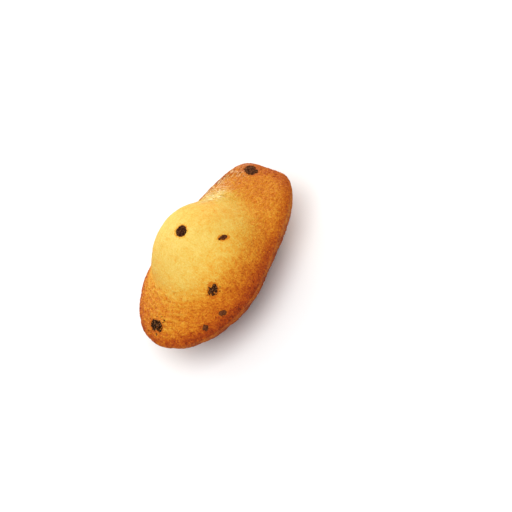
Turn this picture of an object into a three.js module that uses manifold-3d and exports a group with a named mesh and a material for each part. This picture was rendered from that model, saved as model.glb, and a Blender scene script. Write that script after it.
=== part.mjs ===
// A madeleine: a small sponge cake baked in a shell-shaped mould, with chocolate chips in the crust.
// Millimetres, +Z up. The cake lies on its ribbed shell with its humped face up. X is its width, and
// +Y runs to the narrow end. The origin is under its middle, on the surface that it rests on.

import * as THREE from "three";
import { mergeVertices } from "three/addons/utils/BufferGeometryUtils.js";
import Module from "manifold-3d";

const DEGREE = Math.PI / 180;

// Whole cake
const LENGTH = 78;
const WIDTH = 47.3;
const SHELL_DEPTH = 17.1; // from the rim down to the lowest rib, as moulded
const PRESSED_FLAT = 0.5; // how much of the lowest ribs is pressed flat where the cake rests
const RIM_HEIGHT = SHELL_DEPTH - PRESSED_FLAT;

// Outline: a superellipse, round at the wide end, squared off and tapered at the narrow end.
// Along the cake, station -1 is the wide end and +1 the narrow end.
const WIDE_END_POWER = 1.89;
const NARROW_END_POWER = 4.6;
const POWER_CHANGE = 4.6; // how quickly one end's power turns into the other's
const WIDEST_STATION = -0.2;
const TAPER = 0.225;
const TAPER_CURVE = 0.052;
const LEAN = -1; // sideways bow of the middle line
const LEAN_STATION = 0.4; // squared station where the bow crosses the middle

// Face: a low crown with a rounded edge, a broad swell, the tall hump that leans to one side, and a
// shoulder where the hump runs out towards the narrow end
const CROWN_HEIGHT = 3;
const CROWN_EDGE_POWER = 4;
const SWELL = { x: -1, y: -8, height: 3, reachX: 18, reachY: 24 };
const SHOULDER = { x: -8, y: 16.5, height: 4.4, reachX: 8, reachY: 7.5 };
const HUMP = { x: -4.1, y: -0.8, sink: 0.9, height: 19.7, gentleTowards: -5 * DEGREE, change: 11 };
const HUMP_STEEP_SIDE = { radiusX: 21.3, radiusY: 19.4, breadth: 2, power: 0.52 };
const HUMP_GENTLE_SIDE = { radiusX: 28.6, radiusY: 25, breadth: 2.6, power: 1.4 };
const HUMP_EDGE_POWER = 10; // keeps the hump rounded where it reaches the rim
const HUMP_FILLET = 6;
const RIM_ROUNDING_POWER = 16; // brings the whole face down to the rim in a small round edge
const FOLD = { radius: 14.2, depth: 0.45, width: 2.6, towards: -60 * DEGREE, spread: 75 * DEGREE };

// Shell: ribs fan out from the hinge, a plain spot near the narrow end
const SHELL_PLAN_POWER = 2;
const SHELL_DEPTH_POWER = 1.48;
const END_FULLNESS = { plan: 0.8, depth: 0.12 }; // added to the powers towards both ends
const HINGE_Y = 33;
const RIB_COUNT = 17;
const RIB_ANGLE = 7.5 * DEGREE;
const RIB_ROUNDNESS = 2.4; // how broad the crests are beside the grooves
const GROOVE_DEPTH = 0.12; // share of the rib's width
const RIM_SCALLOP = 0.35; // share of the grooves' depth that is left at the rim
const GROOVE_RUN_OUT = 0.12; // share of the way in from the rim over which the grooves deepen

// Chips: how long and wide each one is, which way it lies, and how far it stands out of the crust
const CHIP_STANDS_OUT = 0.4;
const CHIP_HEIGHT = 2.2;
const CHIP_UNEVENNESS = 0.16;
const CHIP_SEED = 7;
const FACE_CHIPS = [
  { x: -5.2, y: 35.2, length: 6.4, width: 4.0, turn: -10 * DEGREE },
  { x: -4.0, y: -2.2, length: 5.2, width: 4.6, turn: 60 * DEGREE },
  { x: 9.6, y: 2.6, length: 3.6, width: 2.0, turn: 60 * DEGREE },
  { x: 12.2, y: -14.4, length: 4.8, width: 3.4, turn: 100 * DEGREE },
  { x: 18.2, y: -19.6, length: 3.2, width: 2.2, turn: 50 * DEGREE },
  { x: 15.0, y: -27.0, length: 2.8, width: 2.4, turn: 110 * DEGREE },
  { x: -3.6, y: -33.4, length: 6.2, width: 5.4, turn: -20 * DEGREE },
];
const SHELL_CHIPS = [
  { x: -9.5, y: 21, length: 4.4, width: 3.4, turn: 20 * DEGREE },
  { x: 11.5, y: 15, length: 4.8, width: 3.6, turn: 120 * DEGREE },
  { x: -15.5, y: 3, length: 4.0, width: 3.0, turn: 75 * DEGREE },
  { x: 14.0, y: -7, length: 5.2, width: 3.8, turn: -30 * DEGREE },
  { x: -9.5, y: -16, length: 5.0, width: 4.2, turn: 45 * DEGREE },
  { x: 6.5, y: -24, length: 4.4, width: 3.4, turn: 10 * DEGREE },
  { x: -14.5, y: -25, length: 3.6, width: 3.0, turn: 140 * DEGREE },
  { x: -1.5, y: 29, length: 3.2, width: 2.6, turn: 90 * DEGREE },
];

// Facets
const RIB_STEPS = [-0.5, -0.4, -0.2, 0, 0.2, 0.4]; // columns in one rib, from groove over crest
const HINGE_COLUMNS = 26; // columns round the narrow end, beyond the last ribs, even in number
const HINGE_WALK_STEPS = 400; // how finely the narrow end is measured to space them evenly
const FACE_RINGS = 22;
const SHELL_RINGS = 20;
const SPARSE_SHARE = 0.4; // inside this share of the way out, every second column is left out
const SLOPE_STEP = 0.01;

const mix = (a, b, share) => a + (b - a) * share;
const clamp01 = (value) => Math.min(1, Math.max(0, value));
const smoothstep = (value) => clamp01(value) ** 2 * (3 - 2 * clamp01(value));

// The larger of two heights, with a fillet where they meet.
function filletedMax(a, b, fillet) {
  const share = clamp01(0.5 + (0.5 * (a - b)) / fillet);
  return mix(b, a, share) + fillet * share * (1 - share);
}

// 0 in the middle of the cake's plan and 1 on its rim.
function rimRatio(x, y) {
  const station = (2 * y) / LENGTH;
  const power = mix(WIDE_END_POWER, NARROW_END_POWER, 0.5 + 0.5 * Math.tanh(POWER_CHANGE * station));
  const along = station - WIDEST_STATION;
  const halfWidth = (WIDTH / 2) * (1 - TAPER * along - TAPER_CURVE * along ** 2);
  const across = (x - LEAN * (station ** 2 - LEAN_STATION)) / halfWidth;
  return (Math.abs(across) ** power + Math.abs(station) ** power) ** (1 / power);
}

// The point of the rim that lies in a direction from a point inside it, by halving.
function rimPointFrom(x, y, angle) {
  let inside = 0;
  let outside = LENGTH;
  while (outside - inside > 1e-6) {
    const reach = (inside + outside) / 2;
    if (rimRatio(x + reach * Math.cos(angle), y + reach * Math.sin(angle)) < 1) inside = reach;
    else outside = reach;
  }
  return new THREE.Vector2(x + inside * Math.cos(angle), y + inside * Math.sin(angle));
}

// The shallow fold in the hump, an arc round its top on the side of the wide end.
function foldDepth(x, y) {
  const reach = Math.hypot(x - HUMP.x, y - HUMP.y);
  const turned = Math.atan2(y - HUMP.y, x - HUMP.x) - FOLD.towards;
  const side = Math.atan2(Math.sin(turned), Math.cos(turned)) / FOLD.spread;
  return FOLD.depth * Math.exp(-(((reach - FOLD.radius) / FOLD.width) ** 2) - side ** 2);
}

// Height of the hump alone: a dome on its steep side, and a bell that runs out slowly on the other.
function humpHeight(x, y) {
  const [fromX, fromY] = [x - HUMP.x, y - HUMP.y];
  const towards = fromX * Math.cos(HUMP.gentleTowards) + fromY * Math.sin(HUMP.gentleTowards);
  const gentle = 0.5 + 0.5 * Math.tanh(towards / HUMP.change);
  const side = (size) => mix(HUMP_STEEP_SIDE[size], HUMP_GENTLE_SIDE[size], gentle);
  const outwards = Math.hypot(fromX / side("radiusX"), fromY / side("radiusY"));
  return HUMP.height * Math.max(0, 1 - outwards ** side("breadth")) ** side("power") - HUMP.sink;
}

// Height of a low rise with soft sides.
function riseHeight(rise, x, y) {
  return rise.height * Math.exp(-(((x - rise.x) / rise.reachX) ** 2) - ((y - rise.y) / rise.reachY) ** 2);
}

// Height of the face above the rim.
function faceHeight(x, y) {
  const ratio = Math.min(1, rimRatio(x, y));
  const rises = riseHeight(SWELL, x, y) + riseHeight(SHOULDER, x, y);
  const crown = (CROWN_HEIGHT + rises) * Math.sqrt(1 - ratio ** CROWN_EDGE_POWER);
  const hump = humpHeight(x, y);
  const rounded = hump > 0 ? hump * Math.sqrt(1 - ratio ** HUMP_EDGE_POWER) : hump;
  const height = filletedMax(crown, rounded, HUMP_FILLET) - foldDepth(x, y);
  return height * Math.sqrt(1 - ratio ** RIM_ROUNDING_POWER);
}

// The powers of the shell's formula, ratio ** plan + deep ** depth = 1, at a station.
function shellPowers(y) {
  const endShare = ((2 * y) / LENGTH) ** 2;
  return {
    plan: SHELL_PLAN_POWER + END_FULLNESS.plan * endShare,
    depth: SHELL_DEPTH_POWER + END_FULLNESS.depth * endShare,
  };
}

// Depth of the shell below the rim, before its grooves.
function shellDepth(x, y) {
  const { plan, depth } = shellPowers(y);
  return SHELL_DEPTH * (1 - Math.min(1, rimRatio(x, y)) ** plan) ** (1 / depth);
}

// Depth of the groove at a place on the shell: none on a rib's crest, most between two ribs.
function grooveDepth(x, y) {
  const angle = Math.atan2(x, HINGE_Y - y) / RIB_ANGLE;
  if (Math.abs(angle) > RIB_COUNT / 2) return 0;
  const fromCrest = 2 * Math.abs(angle - Math.round(angle));
  const ribWidth = Math.hypot(x, HINGE_Y - y) * RIB_ANGLE;
  const deepening = smoothstep((1 - rimRatio(x, y)) / GROOVE_RUN_OUT);
  const groove = 1 - Math.sqrt(1 - fromCrest ** RIB_ROUNDNESS);
  return GROOVE_DEPTH * ribWidth * groove * mix(RIM_SCALLOP, 1, deepening);
}

// The shell's formula: 1 on it, more outside, with deep as a share of its whole depth.
function shellField(x, y, deep) {
  const { plan, depth } = shellPowers(y);
  return rimRatio(x, y) ** plan + Math.max(0, deep) ** depth;
}

// The direction out of the shell, from the slopes of its formula.
function shellNormal(x, y) {
  const deep = shellDepth(x, y) / SHELL_DEPTH;
  const deeper = SLOPE_STEP / SHELL_DEPTH;
  return new THREE.Vector3(
    shellField(x + SLOPE_STEP, y, deep) - shellField(x - SLOPE_STEP, y, deep),
    shellField(x, y + SLOPE_STEP, deep) - shellField(x, y - SLOPE_STEP, deep),
    shellField(x, y, deep - deeper) - shellField(x, y, deep + deeper),
  ).normalize();
}

// A point of the grooved shell, pressed flat where the cake rests.
function shellPoint(x, y) {
  const point = new THREE.Vector3(x, y, RIM_HEIGHT - shellDepth(x, y));
  point.addScaledVector(shellNormal(x, y), -grooveDepth(x, y));
  point.z = Math.max(0, point.z);
  return point;
}

// The columns of facets, each a point of the outline and the same point on the scalloped rim. They
// follow the ribs' crests and grooves, then run evenly round the narrow end.
function makeColumns() {
  const angles = [];
  for (let rib = 0; rib < RIB_COUNT; rib++) {
    RIB_STEPS.forEach((step) => angles.push((rib - (RIB_COUNT - 1) / 2 + step) * RIB_ANGLE));
  }
  const lastGroove = (RIB_COUNT / 2) * RIB_ANGLE;
  const outline = angles.map((angle) => rimPointFrom(0, HINGE_Y, angle - Math.PI / 2));
  const hingeTurn = 2 * Math.PI - 2 * lastGroove;
  const walk = new THREE.Path();
  for (let i = 0; i <= HINGE_WALK_STEPS; i++) {
    const angle = lastGroove - Math.PI / 2 + (hingeTurn * i) / HINGE_WALK_STEPS;
    const point = rimPointFrom(0, HINGE_Y, angle);
    if (i === 0) walk.moveTo(point.x, point.y);
    else walk.lineTo(point.x, point.y);
  }
  outline.push(...walk.getSpacedPoints(HINGE_COLUMNS).slice(0, -1));
  return outline.map((point) => ({ outline: point, rim: shellPoint(point.x, point.y) }));
}

// Fills the loop between two rings of vertex numbers, splitting each quad along its shorter diagonal.
// The inner ring has as many vertices as the outer one, or half as many.
function stitch(vertices, inner, outer, faces, facesUp) {
  const perInner = outer.length / inner.length;
  const apart = (a, b) => vertices[a].distanceTo(vertices[b]);
  inner.forEach((near, i) => {
    const next = inner[(i + 1) % inner.length];
    const [far, farNext] = [outer[i * perInner], outer[(i * perInner + 1) % outer.length]];
    let fan = [[near, far, farNext], [near, farNext, next]];
    if (perInner === 2) fan.push([next, farNext, outer[(i * perInner + 2) % outer.length]]);
    else if (apart(far, next) < apart(near, farNext)) fan = [[near, far, next], [far, farNext, next]];
    fan.forEach(([a, b, c]) => faces.push(...(facesUp ? [a, b, c] : [a, c, b])));
  });
}

// Closes the rim with rings that draw in to one middle vertex. place gives the vertex of a column at
// a share of the way from the middle to the rim.
function addCover(vertices, faces, rimRing, columns, ringCount, place, facesUp) {
  let outer = rimRing;
  for (let ring = ringCount - 1; ring > 0; ring--) {
    const share = Math.sin((Math.PI / 2) * (ring / ringCount));
    const step = share < SPARSE_SHARE ? 2 : 1;
    const inner = [];
    for (let c = 0; c < columns.length; c += step) {
      inner.push(vertices.length);
      vertices.push(place(columns[c], share));
    }
    stitch(vertices, inner, outer, faces, facesUp);
    outer = inner;
  }
  const middle = vertices.length;
  vertices.push(place(columns[0], 0));
  outer.forEach((near, i) => {
    const next = outer[(i + 1) % outer.length];
    faces.push(...(facesUp ? [middle, near, next] : [middle, next, near]));
  });
}

// A vertex of the face, whose rings draw in to the hump's top.
function facePlace(column, share) {
  const height = faceHeight(mix(HUMP.x, column.outline.x, share), mix(HUMP.y, column.outline.y, share));
  return new THREE.Vector3(
    mix(HUMP.x, column.rim.x, share),
    mix(HUMP.y, column.rim.y, share),
    RIM_HEIGHT + height,
  );
}

// A vertex of the shell, whose rings draw in to the hinge.
function shellPlace(column, share) {
  return shellPoint(mix(0, column.outline.x, share), mix(HINGE_Y, column.outline.y, share));
}

function makeSponge() {
  const columns = makeColumns();
  const vertices = columns.map((column) => column.rim);
  const rimRing = columns.map((_, i) => i);
  const faces = [];
  addCover(vertices, faces, rimRing, columns, FACE_RINGS, facePlace, true);
  addCover(vertices, faces, rimRing, columns, SHELL_RINGS, shellPlace, false);
  return new THREE.BufferGeometry().setFromPoints(vertices).setIndex(faces);
}

// A fixed run of numbers between 0 and 1, so that each lump is uneven in its own way every time.
function makeRandom(seed) {
  const factor = 16807;
  const modulus = 2 ** 31 - 1;
  let state = seed;
  return () => {
    state = (state * factor) % modulus;
    return state / modulus;
  };
}

// One chip: an uneven flat lump that lies in the crust, square to it.
function makeChip(chip, surfacePoint, outwards, random) {
  const lump = new THREE.IcosahedronGeometry(1, 1);
  ["normal", "uv"].forEach((name) => lump.deleteAttribute(name));
  const merged = mergeVertices(lump);
  const corner = new THREE.Vector3();
  const corners = merged.getAttribute("position");
  for (let i = 0; i < corners.count; i++) {
    corner.fromBufferAttribute(corners, i).multiplyScalar(1 + CHIP_UNEVENNESS * (2 * random() - 1));
    corners.setXYZ(i, corner.x, corner.y, corner.z);
  }
  merged.scale(chip.length / 2, chip.width / 2, CHIP_HEIGHT / 2);
  merged.rotateZ(chip.turn);
  const lie = new THREE.Quaternion().setFromUnitVectors(new THREE.Vector3(0, 0, 1), outwards);
  merged.applyQuaternion(lie);
  const middle = surfacePoint.clone().addScaledVector(outwards, CHIP_STANDS_OUT - CHIP_HEIGHT / 2);
  merged.translate(middle.x, middle.y, middle.z);
  return merged;
}

// The direction out of the face at a place on it.
function faceNormal(x, y) {
  return new THREE.Vector3(
    (faceHeight(x - SLOPE_STEP, y) - faceHeight(x + SLOPE_STEP, y)) / (2 * SLOPE_STEP),
    (faceHeight(x, y - SLOPE_STEP) - faceHeight(x, y + SLOPE_STEP)) / (2 * SLOPE_STEP),
    1,
  ).normalize();
}

function makeChips() {
  const random = makeRandom(CHIP_SEED);
  const onFace = FACE_CHIPS.map((chip) => {
    const place = new THREE.Vector3(chip.x, chip.y, RIM_HEIGHT + faceHeight(chip.x, chip.y));
    return makeChip(chip, place, faceNormal(chip.x, chip.y), random);
  });
  const onShell = SHELL_CHIPS.map((chip) =>
    makeChip(chip, shellPoint(chip.x, chip.y), shellNormal(chip.x, chip.y), random),
  );
  return [...onFace, ...onShell];
}

const wasm = await Module();
wasm.setup();

function toSolid(geometry) {
  return new wasm.Manifold(
    new wasm.Mesh({
      numProp: 3,
      vertProperties: new Float32Array(geometry.getAttribute("position").array),
      triVerts: new Uint32Array(geometry.index.array),
    }),
  );
}

function toGeometry(solid) {
  const { vertProperties, triVerts } = solid.getMesh();
  return new THREE.BufferGeometry()
    .setAttribute("position", new THREE.BufferAttribute(vertProperties, 3))
    .setIndex(new THREE.BufferAttribute(triVerts, 1));
}

function makeCake() {
  const whole = makeChips().reduce((solid, chip) => solid.add(toSolid(chip)), toSolid(makeSponge()));
  const geometry = toGeometry(whole);
  geometry.computeVertexNormals();
  geometry.computeBoundingBox();
  const middle = geometry.boundingBox.getCenter(new THREE.Vector3());
  const crust = new THREE.MeshStandardMaterial({ color: 0xd98a34, roughness: 0.6, metalness: 0 });
  const cake = new THREE.Mesh(geometry, crust);
  cake.name = "cake";
  cake.position.set(-middle.x, -middle.y, 0);
  return cake;
}

const madeleine = new THREE.Group();
madeleine.add(makeCake());

export default madeleine;
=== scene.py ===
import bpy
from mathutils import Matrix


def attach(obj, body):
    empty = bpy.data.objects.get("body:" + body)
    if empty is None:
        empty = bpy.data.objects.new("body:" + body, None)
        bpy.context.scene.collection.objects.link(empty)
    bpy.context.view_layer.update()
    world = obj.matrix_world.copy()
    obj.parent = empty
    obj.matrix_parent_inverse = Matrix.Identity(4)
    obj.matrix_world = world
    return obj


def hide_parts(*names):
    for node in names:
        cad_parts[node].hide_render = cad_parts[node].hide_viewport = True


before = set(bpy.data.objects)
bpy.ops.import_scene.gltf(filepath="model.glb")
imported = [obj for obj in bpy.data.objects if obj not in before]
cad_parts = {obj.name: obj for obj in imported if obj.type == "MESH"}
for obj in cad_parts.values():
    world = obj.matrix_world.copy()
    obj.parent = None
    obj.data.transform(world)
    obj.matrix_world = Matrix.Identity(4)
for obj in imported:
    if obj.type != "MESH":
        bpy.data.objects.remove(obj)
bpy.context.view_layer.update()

import inspect
import math
from functools import cache
from types import SimpleNamespace

import bpy
from mathutils import Matrix, Vector

# A chocolate chip madeleine: a sponge cake baked in a ribbed shell mould. It lies on its shell with its
# humped face up, and +Y runs to its narrow end. Shapes are worked out in millimetres, with the rim's
# plane at height 0 and the formulas' origin in the middle of the outline, then moved into the frame.

MM = 0.001
DEGREE = math.pi / 180

# Sizes of the cake, which its node tree takes as named inputs
CAKE_SIZES = {
    "Length": 78.0,
    "Width": 47.3,
    "Shell depth": 17.1,
    "Pressed flat": 0.5,
    "Crown height": 3.0,
    "Swell height": 3.0,
    "Shoulder height": 4.4,
    "Hump height": 19.7,
    "Hump sink": 0.9,
    "Hump fillet": 6.0,
    "Fold depth": 0.45,
    "Groove depth": 0.12,
    "Unevenness": 0.35,
    "Wrinkle depth": 0.5,
    "Crinkle depth": 1.2,
    "Pebble depth": 0.12,
    "Grain depth": 0.2,
    "Pore depth": 0.25,
    "Nest depth": 0.15,
    "Seed": 3.0,
}
QUADS_ACROSS = 218
FACE_CROWDING = 0.5  # how far the face's facets crowd towards its rim
SMALLEST_RADIUS = 1e-6
MERGE_DISTANCE = 0.004
SEED_STEP = (17.3, 5.1, 9.7)

# Outline: a superellipse, round at the wide end, squared off and tapered at the narrow end
WIDE_END_POWER = 1.89
NARROW_END_POWER = 4.6
POWER_CHANGE = 4.6
WIDEST_STATION = -0.2
TAPER = 0.225
TAPER_CURVE = 0.052
LEAN = -1.0
LEAN_STATION = 0.4
RIM_SEARCH_STEPS = 7
OUTLINE_STEPS = 720

# Face. A spot is a place in plan and how far the spot reaches along X and Y.
CROWN_EDGE_POWER = 4
SWELL_SPOT = (-1.0, -8.0, 18.0, 24.0)
SHOULDER_SPOT = (-8.0, 16.5, 8.0, 7.5)
HUMP_X, HUMP_Y = -4.1, -0.8
HUMP_GENTLE_TOWARDS = -5 * DEGREE
HUMP_CHANGE = 11.0
HUMP_STEEP_SIDE = {"radius x": 21.3, "radius y": 19.4, "breadth": 2.0, "power": 0.52}
HUMP_GENTLE_SIDE = {"radius x": 28.6, "radius y": 25.0, "breadth": 2.6, "power": 1.4}
HUMP_EDGE_POWER = 10
RIM_ROUNDING_POWER = 16
FOLD_RADIUS, FOLD_WIDTH, FOLD_TOWARDS, FOLD_SPREAD = 14.2, 2.6, -60 * DEGREE, 75 * DEGREE

# Shell
SHELL_PLAN_POWER = 2
SHELL_DEPTH_POWER = 1.48
END_FULLNESS_PLAN = 0.8
END_FULLNESS_DEPTH = 0.12
HINGE_Y = 33.0
RIB_COUNT = 17
RIB_ANGLE = 7.5 * DEGREE
RIB_ROUNDNESS = 2.4
RIM_SCALLOP = 0.35
GROOVE_RUN_OUT = 0.12
SLOPE_STEP = 0.01

# Relief of the crust. A pair of bounds says where a share sets in and where it is full. A reach is the
# distance in plan from the top of the hump, a side is the angle round it, and a ratio is 1 on the rim.
HUMP_FOOT = (15.0, 23.0)
RIM_FALL_POWER = 8
SHELL_SWELLS = 0.4
WRINKLED_SIDE = (0.2, 1.2)
LEAST_WRINKLED = 0.35
CRINKLED_SPOT = (-12.0, 20.0, 8.0, 9.0)
CRINKLED_EDGE = ((0.6, 0.85), (-4.0, -10.0), (10.0, 18.0))
EDGE_CRINKLES = 0.7
CRINKLE_RISE, CREASE_SHARE, FOLD_SHARE = 0.06, 0.2, 0.85
HUMP_GRAIN = 0.3
RIM_SOFTENING, RIM_SOFT_WIDTH = 0.5, 0.06
PEBBLE_SIZE = 1.05
PEBBLE_BEND = 1.1
PEBBLE_STEEPNESS = 3.2
PEBBLE_SMOOTHNESS = 0.5
PORE_SPACING = 1.4
PORE_CHANCE = (0.35, 0.6)
PORE_EDGE = (0.34, 0.12)
PORED_FACE = ((17.0, 23.0), (0.7, 0.95))
SHELL_PORES = 0.8

# Chips: place in plan, length, width, turn, how far the batter veils them, and how crumbled they are
FACE_CHIPS = [
    (-5.2, 35.2, 7.0, 4.4, -10, 0.3, 0.7),
    (-4.2, -2.2, 4.5, 4.9, 60, 0.0, 0.4),
    (9.6, 2.6, 3.8, 2.0, 60, 0.4, 0.5),
    (12.2, -14.4, 5.0, 3.6, 100, 0.1, 0.8),
    (18.2, -19.6, 3.4, 2.2, 50, 0.6, 0.6),
    (15.0, -27.0, 2.8, 2.4, 110, 0.6, 0.6),
    (-3.6, -33.4, 6.8, 4.0, -15, 0.0, 1.0),
]
SHELL_CHIPS = [
    (-9.5, 21.0, 4.4, 3.4, 20, 0.1, 0.8),
    (11.5, 15.0, 4.8, 3.6, 120, 0.0, 1.0),
    (-15.5, 3.0, 4.0, 3.0, 75, 0.2, 0.8),
    (14.0, -7.0, 5.2, 3.8, -30, 0.0, 1.0),
    (-9.5, -16.0, 5.0, 4.2, 45, 0.1, 0.9),
    (6.5, -24.0, 4.4, 3.4, 10, 0.0, 1.0),
    (-14.5, -25.0, 3.6, 3.0, 140, 0.3, 0.6),
    (-1.5, 29.0, 3.2, 2.6, 90, 0.4, 0.6),
]
CHIP_SIZES = {
    "Chip height": 2.0,
    "Stands out": 0.16,
    "Roughness": 0.22,
    "Raggedness": 1.2,
    "Speck size": 0.48,
    "Speck spread": 1.3,
    "Seed": 5.0,
}
CHIP_FLATNESS = 0.25
CHIP_LEVEL, SPECK_LEVEL = 5, 2
SPECKS_PER_CHIP = 12
SPECK_CHANCES = {"turn": (0.0, 2 * math.pi, 11), "spread": (0.5, 1.0, 12), "size": (0.35, 1.0, 13)}
SPECK_SHAPE = (1.3, 1.0, 0.6)
LEAST_CRUMBLED_WITH_SPECKS = 0.65

# The same for a whole chip and for a crumbled one, as shares of the sizes above
STANDING_OUT = (1.6, 1.0)
SPECK_SIZES = (0.3, 1.4)
ROUGHENING = (0.6, 1.2)
DRAGGING = (0.5, 1.3)
FINE_ROUGHNESS = 0.5

# The crust round a chip, by its distance in the chip's own radii
NEST_REACH_HEIGHT = 3.0
CALM_CRUST = (0.9, 1.4)
CALM_RELIEF = 0.15
NEST_UNEVENNESS = 0.28
NEST_EDGE = (1.15, 0.85)
NEST_LIP = (1.9, 1.2)
LIP_SHARE = 0.1

# Rays that lay the chips on the crust
RAY_START = 4.0
RAY_LENGTH_M = 0.012


# ------------ arithmetic that also builds nodes

OPERATORS = {"add": "ADD", "sub": "SUBTRACT", "mul": "MULTIPLY", "truediv": "DIVIDE", "pow": "POWER"}
PLAIN_MATH = {
    "ABSOLUTE": abs,
    "TANH": math.tanh,
    "SQRT": math.sqrt,
    "EXPONENT": math.exp,
    "SINE": math.sin,
    "COSINE": math.cos,
    "ARCTAN2": math.atan2,
    "ROUND": round,
    "MAXIMUM": max,
    "MINIMUM": min,
    "LESS_THAN": lambda a, b: float(a < b),
}


class Field:
    """An output of a node. Arithmetic with it adds Math nodes to its tree."""

    def __init__(self, socket):
        self.socket = socket
        self.tree = socket.id_data


def give_operator(name, operation):
    """Lets a field stand on either side of an operator."""
    setattr(Field, f"__{name}__", lambda field, other: calculate(operation, field, other))
    setattr(Field, f"__r{name}__", lambda field, other: calculate(operation, other, field))


for operator in OPERATORS.items():
    give_operator(*operator)


def feed(socket, value):
    """Links a field to a socket, or sets the socket's own value."""
    if isinstance(value, Field):
        socket.id_data.links.new(value.socket, socket)
    else:
        socket.default_value = value


def feed_all(node, values):
    for key, value in values.items():
        feed(node.inputs[key], value)


def add_node(tree, kind, inputs=None, **settings):
    """A new node with its settings and inputs."""
    made = tree.nodes.new(kind)
    for name, value in settings.items():
        setattr(made, name, value)
    feed_all(made, inputs or {})
    return made


def node_field(tree, kind, inputs=None, out=0, **settings):
    """One output of a new node, as a field."""
    return Field(add_node(tree, kind, inputs, **settings).outputs[out])


def calculate(operation, *values):
    """A Math node when a value is a field, and the plain result when all are numbers."""
    fields = [value for value in values if isinstance(value, Field)]
    if not fields:
        return PLAIN_MATH[operation](*values)
    return node_field(fields[0].tree, "ShaderNodeMath", dict(enumerate(values)), operation=operation)


def larger(first, second):
    return calculate("MAXIMUM", first, second)


def smaller(first, second):
    return calculate("MINIMUM", first, second)


def root(value):
    return calculate("SQRT", value)


def blend(low, high, share):
    return low + (high - low) * share


def clamp01(value):
    return smaller(1.0, larger(0.0, value))


def smooth(value, start, end):
    """0 before start, 1 after end, smooth between; start may lie above end."""
    share = clamp01((value - start) / (end - start))
    return share * share * (3 - 2 * share)


def distance(x, y):
    return root(x * x + y * y)


def within(bounds, *values):
    """The product of the shares of several values, each between its own bounds."""
    return math.prod(smooth(value, *pair) for value, pair in zip(values, bounds))


def bell(value):
    return calculate("EXPONENT", -1 * value * value)


def spot(x, y, middle_x, middle_y, reach_x, reach_y):
    """1 in the middle of a spot in plan, falling off smoothly round it."""
    return bell((x - middle_x) / reach_x) * bell((y - middle_y) / reach_y)


def filleted_max(first, second, fillet):
    """The larger height, with a fillet where the two meet."""
    share = clamp01(0.5 + 0.5 * (first - second) / fillet)
    return blend(second, first, share) + fillet * share * (1 - share)


def join_xyz(x, y, z):
    fields = [value for value in (x, y, z) if isinstance(value, Field)]
    if not fields:
        return x, y, z
    return node_field(fields[0].tree, "ShaderNodeCombineXYZ", {0: x, 1: y, 2: z})


def split_xyz(vector):
    return [Field(out) for out in add_node(vector.tree, "ShaderNodeSeparateXYZ", {0: vector}).outputs]


def vector_math(operation, first, second):
    return node_field(first.tree, "ShaderNodeVectorMath", {0: first, 1: second}, operation=operation)


def scaled(vector, share):
    return node_field(vector.tree, "ShaderNodeVectorMath", {0: vector, "Scale": share}, operation="SCALE")


def raw_noise(out, place, grain, detail, roughness, seed):
    """An output of a noise texture; each seed takes it from another part of space."""
    moved = vector_math("ADD", place, join_xyz(*(seed * step for step in SEED_STEP))) if seed else place
    inputs = {"Vector": moved, "Scale": 1 / grain, "Detail": detail, "Roughness": roughness}
    return node_field(place.tree, "ShaderNodeTexNoise", inputs, out)


def noise(place, grain, detail=2.0, roughness=0.5, seed=0.0):
    """Soft noise from about -1 to 1, with lumps of a size given in the place's own unit."""
    return raw_noise("Fac", place, grain, detail, roughness, seed) * 2 - 1


def noise_vector(place, grain, detail, roughness, seed):
    """Soft noise in all three directions, each from about -0.5 to 0.5."""
    raw = raw_noise("Color", place, grain, detail, roughness, seed)
    return vector_math("SUBTRACT", raw, (0.5, 0.5, 0.5))


def drawn_out(across, along, long, wide=1.0, layer=0.0):
    """A place for noise whose lumps are drawn out along one direction."""
    return join_xyz(across / wide, along / long, layer)


GEOMETRY = {"Geometry": ("Geometry", None)}


def new_tree(name, inputs, outputs=GEOMETRY, kind="GeometryNodeTree"):
    """A node tree with named sockets: each label has its socket type and value."""
    tree = bpy.data.node_groups.new(name, kind)
    for way, sockets in (("INPUT", inputs), ("OUTPUT", outputs)):
        for label, (socket_type, value) in sockets.items():
            made = tree.interface.new_socket(name=label, in_out=way, socket_type="NodeSocket" + socket_type)
            if value is not None:
                made.default_value = value
    given = tree.nodes.new("NodeGroupInput")
    result = tree.nodes.new("NodeGroupOutput")
    return tree, {out.name: Field(out) for out in given.outputs if out.name}, result


def floats(sizes):
    return {label: ("Float", value) for label, value in sizes.items()}


def formula(name, *size_labels, results=("Value",)):
    """Lets a formula for numbers work on fields too, through a node group that is built once."""

    def wrap(work):
        places = [label for label in inspect.signature(work).parameters if label != "size"]

        @cache
        def group():
            labels = dict.fromkeys([*places, *size_labels], 0.0)
            tree, inside, result = new_tree(name, floats(labels), floats(dict.fromkeys(results, 0.0)))
            answers = work(*(inside[place] for place in places), inside)
            feed_all(result, dict(zip(results, answers if len(results) > 1 else [answers])))
            return tree

        def either(*values):
            *numbers, size = values
            given = dict(zip(places, numbers)) | {label: size[label] for label in size_labels}
            fields = [value for value in given.values() if isinstance(value, Field)]
            if not fields:
                return work(*values)
            made = add_node(fields[0].tree, "GeometryNodeGroup", given, node_tree=group())
            found = tuple(Field(out) for out in made.outputs)
            return found if len(results) > 1 else found[0]

        return either

    return wrap


# ------------ the cake's shape

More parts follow.
